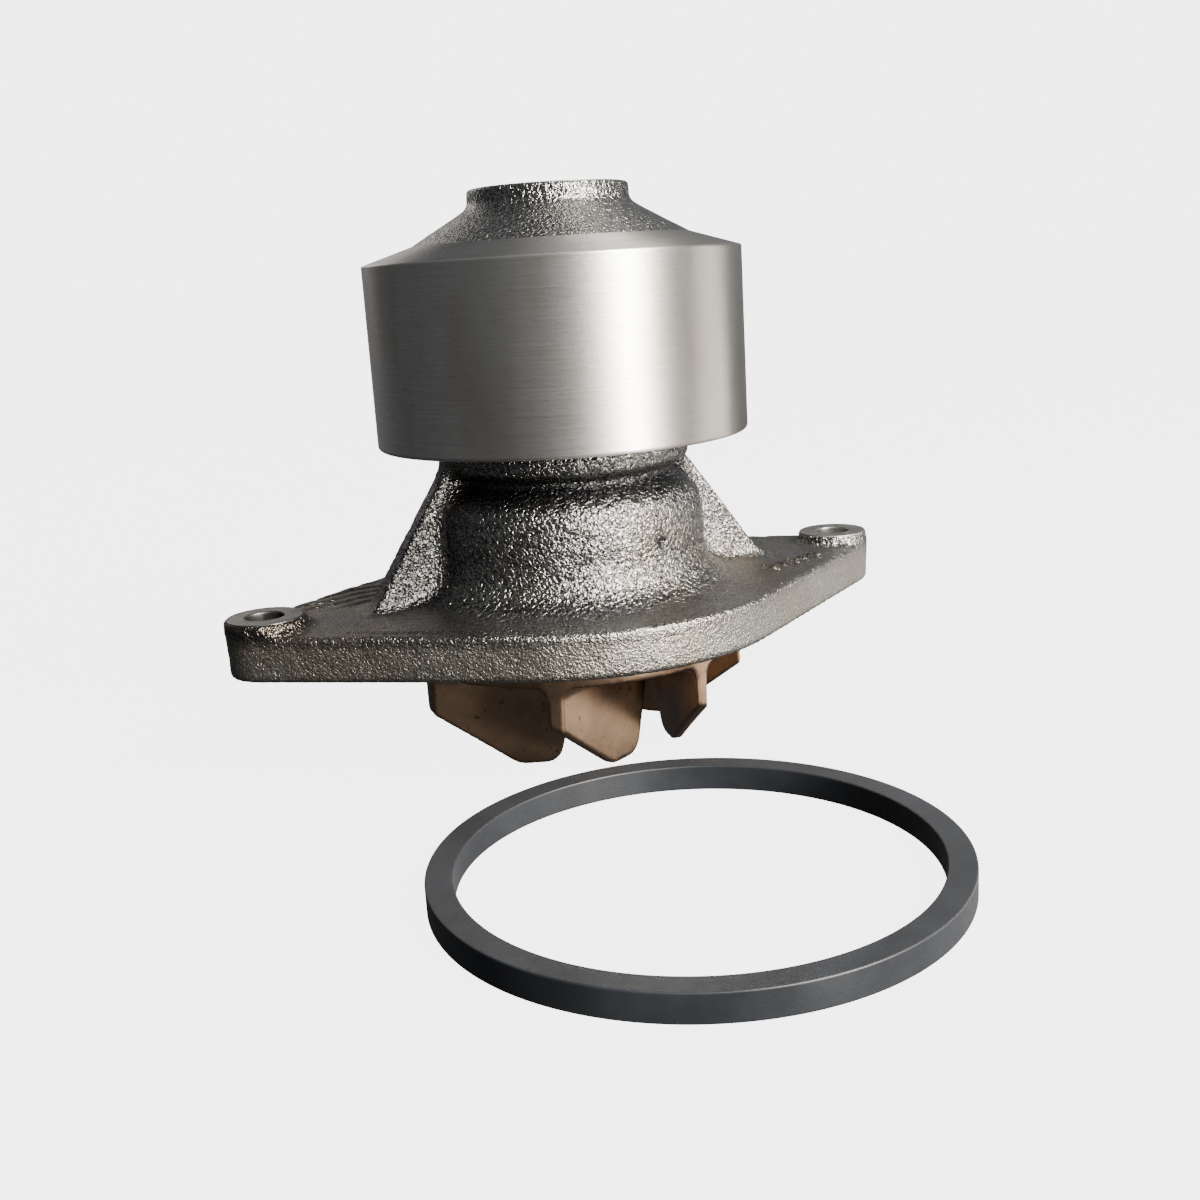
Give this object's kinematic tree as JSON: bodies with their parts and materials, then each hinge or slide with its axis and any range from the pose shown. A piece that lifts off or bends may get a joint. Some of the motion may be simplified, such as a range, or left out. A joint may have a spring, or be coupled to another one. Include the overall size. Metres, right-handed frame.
{
  "type": "engine water pump",
  "caption": "Belt-driven engine water pump: cast two-ear housing, smooth cup pulley, bladed impeller on a sealed bearing shaft, and a loose rubber sealing ring.",
  "frame": {"origin": "where the shaft axis meets the rear (engine side) face of the mounting flange, midway between the two bolt holes", "axes": "+Z along the shaft from the impeller to the pulley, X through the two bolt holes, -Y towards the loose sealing ring"},
  "size_m": [0.1762, 0.2032, 0.1384],
  "materials": {
    "cast_iron_housing": "oily sand-cast skin",
    "pulley_steel": "fine turned",
    "impeller_bronze": "satin brown bronze",
    "bearing_steel": "ground",
    "cage_plastic": "moulded",
    "lip_rubber": "matte",
    "seal_steel": "pressed sheet",
    "seal_brass": "pressed sheet",
    "seal_carbon": "lapped carbon",
    "seal_ceramic": "lapped ceramic",
    "ring_rubber": "matte moulded"
  },
  "bodies": {
    "housing": {"housing": "cast_iron_housing", "bearing_outer_ring": "bearing_steel", "front_bearing_seal": "lip_rubber", "rear_bearing_seal": "lip_rubber", "seal_case": "seal_brass", "seal_spring": "seal_steel", "seal_bellows": "lip_rubber"},
    "rotor": {"pulley": "pulley_steel", "bearing_shaft": "bearing_steel", "impeller": "impeller_bronze", "slinger": "seal_steel", "seal_sleeve": "seal_steel", "seal_seat_boot": "lip_rubber", "seal_seat_ring": "seal_ceramic"},
    "ball_row": {"ball_cage": "cage_plastic"},
    "roller_row": {"roller_cage": "cage_plastic"},
    "seal_face": {"seal_carbon_ring": "seal_carbon", "seal_ferrule": "seal_steel"},
    "sealing_ring": {"sealing_ring": "ring_rubber"},
    "ball_1_body": {"ball_1": "bearing_steel"},
    "ball_2_body": {"ball_2": "bearing_steel"},
    "ball_3_body": {"ball_3": "bearing_steel"},
    "ball_4_body": {"ball_4": "bearing_steel"},
    "ball_5_body": {"ball_5": "bearing_steel"},
    "ball_6_body": {"ball_6": "bearing_steel"},
    "ball_7_body": {"ball_7": "bearing_steel"},
    "ball_8_body": {"ball_8": "bearing_steel"},
    "roller_1_body": {"roller_1": "bearing_steel"},
    "roller_2_body": {"roller_2": "bearing_steel"},
    "roller_3_body": {"roller_3": "bearing_steel"},
    "roller_4_body": {"roller_4": "bearing_steel"},
    "roller_5_body": {"roller_5": "bearing_steel"},
    "roller_6_body": {"roller_6": "bearing_steel"},
    "roller_7_body": {"roller_7": "bearing_steel"},
    "roller_8_body": {"roller_8": "bearing_steel"},
    "roller_9_body": {"roller_9": "bearing_steel"},
    "roller_10_body": {"roller_10": "bearing_steel"},
    "roller_11_body": {"roller_11": "bearing_steel"}
  },
  "joints": [
    {"name": "rotor_spin", "type": "hinge", "parent": "housing", "child": "rotor", "pos_m": [0, 0, 0.05], "axis": [0, 0, 1], "continuous": true},
    {"name": "ball_row_turn", "type": "hinge", "parent": "housing", "child": "ball_row", "pos_m": [0, 0, 0.072], "axis": [0, 0, 1], "continuous": true},
    {"name": "roller_row_turn", "type": "hinge", "parent": "housing", "child": "roller_row", "pos_m": [0, 0, 0.046], "axis": [0, 0, 1], "continuous": true},
    {"name": "seal_face_lift", "type": "slide", "parent": "housing", "child": "seal_face", "axis": [0, 0, 1], "range_m": [0, 0.001], "stiffness_N_per_m": 2000, "springref_m": -0.004, "deforming": ["seal_spring", "seal_bellows"]},
    {"name": "sealing_ring_slide", "type": "slide", "parent": "housing", "child": "sealing_ring", "axis": [0, -1, 0], "range_m": [0, 0.06]},
    {"name": "ball_1_roll", "type": "hinge", "parent": "ball_row", "child": "ball_1_body", "pos_m": [0.00866, 0.00866, 0.072], "axis": [0, 0, 1], "continuous": true},
    {"name": "ball_2_roll", "type": "hinge", "parent": "ball_row", "child": "ball_2_body", "pos_m": [0, 0.01225, 0.072], "axis": [0, 0, 1], "continuous": true},
    {"name": "ball_3_roll", "type": "hinge", "parent": "ball_row", "child": "ball_3_body", "pos_m": [-0.00866, 0.00866, 0.072], "axis": [0, 0, 1], "continuous": true},
    {"name": "ball_4_roll", "type": "hinge", "parent": "ball_row", "child": "ball_4_body", "pos_m": [-0.01225, 0, 0.072], "axis": [0, 0, 1], "continuous": true},
    {"name": "ball_5_roll", "type": "hinge", "parent": "ball_row", "child": "ball_5_body", "pos_m": [-0.00866, -0.00866, 0.072], "axis": [0, 0, 1], "continuous": true},
    {"name": "ball_6_roll", "type": "hinge", "parent": "ball_row", "child": "ball_6_body", "pos_m": [0, -0.01225, 0.072], "axis": [0, 0, 1], "continuous": true},
    {"name": "ball_7_roll", "type": "hinge", "parent": "ball_row", "child": "ball_7_body", "pos_m": [0.00866, -0.00866, 0.072], "axis": [0, 0, 1], "continuous": true},
    {"name": "ball_8_roll", "type": "hinge", "parent": "ball_row", "child": "ball_8_body", "pos_m": [0.01225, 0, 0.072], "axis": [0, 0, 1], "continuous": true},
    {"name": "roller_1_roll", "type": "hinge", "parent": "roller_row", "child": "roller_1_body", "pos_m": [0.01031, 0.00662, 0.046], "axis": [0, 0, 1], "continuous": true},
    {"name": "roller_2_roll", "type": "hinge", "parent": "roller_row", "child": "roller_2_body", "pos_m": [0.00509, 0.01114, 0.046], "axis": [0, 0, 1], "continuous": true},
    {"name": "roller_3_roll", "type": "hinge", "parent": "roller_row", "child": "roller_3_body", "pos_m": [-0.00174, 0.01213, 0.046], "axis": [0, 0, 1], "continuous": true},
    {"name": "roller_4_roll", "type": "hinge", "parent": "roller_row", "child": "roller_4_body", "pos_m": [-0.00802, 0.00926, 0.046], "axis": [0, 0, 1], "continuous": true},
    {"name": "roller_5_roll", "type": "hinge", "parent": "roller_row", "child": "roller_5_body", "pos_m": [-0.01175, 0.00345, 0.046], "axis": [0, 0, 1], "continuous": true},
    {"name": "roller_6_roll", "type": "hinge", "parent": "roller_row", "child": "roller_6_body", "pos_m": [-0.01175, -0.00345, 0.046], "axis": [0, 0, 1], "continuous": true},
    {"name": "roller_7_roll", "type": "hinge", "parent": "roller_row", "child": "roller_7_body", "pos_m": [-0.00802, -0.00926, 0.046], "axis": [0, 0, 1], "continuous": true},
    {"name": "roller_8_roll", "type": "hinge", "parent": "roller_row", "child": "roller_8_body", "pos_m": [-0.00174, -0.01213, 0.046], "axis": [0, 0, 1], "continuous": true},
    {"name": "roller_9_roll", "type": "hinge", "parent": "roller_row", "child": "roller_9_body", "pos_m": [0.00509, -0.01114, 0.046], "axis": [0, 0, 1], "continuous": true},
    {"name": "roller_10_roll", "type": "hinge", "parent": "roller_row", "child": "roller_10_body", "pos_m": [0.01031, -0.00662, 0.046], "axis": [0, 0, 1], "continuous": true},
    {"name": "roller_11_roll", "type": "hinge", "parent": "roller_row", "child": "roller_11_body", "pos_m": [0.01225, 0, 0.046], "axis": [0, 0, 1], "continuous": true}
  ],
  "couplings": [
    {"joint": "ball_row_turn", "follows": "rotor_spin", "ratio": 0.35714},
    {"joint": "roller_row_turn", "follows": "rotor_spin", "ratio": 0.38898},
    {"joint": "ball_1_roll", "follows": "rotor_spin", "ratio": -1.6071},
    {"joint": "ball_2_roll", "follows": "rotor_spin", "ratio": -1.6071},
    {"joint": "ball_3_roll", "follows": "rotor_spin", "ratio": -1.6071},
    {"joint": "ball_4_roll", "follows": "rotor_spin", "ratio": -1.6071},
    {"joint": "ball_5_roll", "follows": "rotor_spin", "ratio": -1.6071},
    {"joint": "ball_6_roll", "follows": "rotor_spin", "ratio": -1.6071},
    {"joint": "ball_7_roll", "follows": "rotor_spin", "ratio": -1.6071},
    {"joint": "ball_8_roll", "follows": "rotor_spin", "ratio": -1.6071},
    {"joint": "roller_1_roll", "follows": "rotor_spin", "ratio": -2.1408},
    {"joint": "roller_2_roll", "follows": "rotor_spin", "ratio": -2.1408},
    {"joint": "roller_3_roll", "follows": "rotor_spin", "ratio": -2.1408},
    {"joint": "roller_4_roll", "follows": "rotor_spin", "ratio": -2.1408},
    {"joint": "roller_5_roll", "follows": "rotor_spin", "ratio": -2.1408},
    {"joint": "roller_6_roll", "follows": "rotor_spin", "ratio": -2.1408},
    {"joint": "roller_7_roll", "follows": "rotor_spin", "ratio": -2.1408},
    {"joint": "roller_8_roll", "follows": "rotor_spin", "ratio": -2.1408},
    {"joint": "roller_9_roll", "follows": "rotor_spin", "ratio": -2.1408},
    {"joint": "roller_10_roll", "follows": "rotor_spin", "ratio": -2.1408},
    {"joint": "roller_11_roll", "follows": "rotor_spin", "ratio": -2.1408}
  ]
}
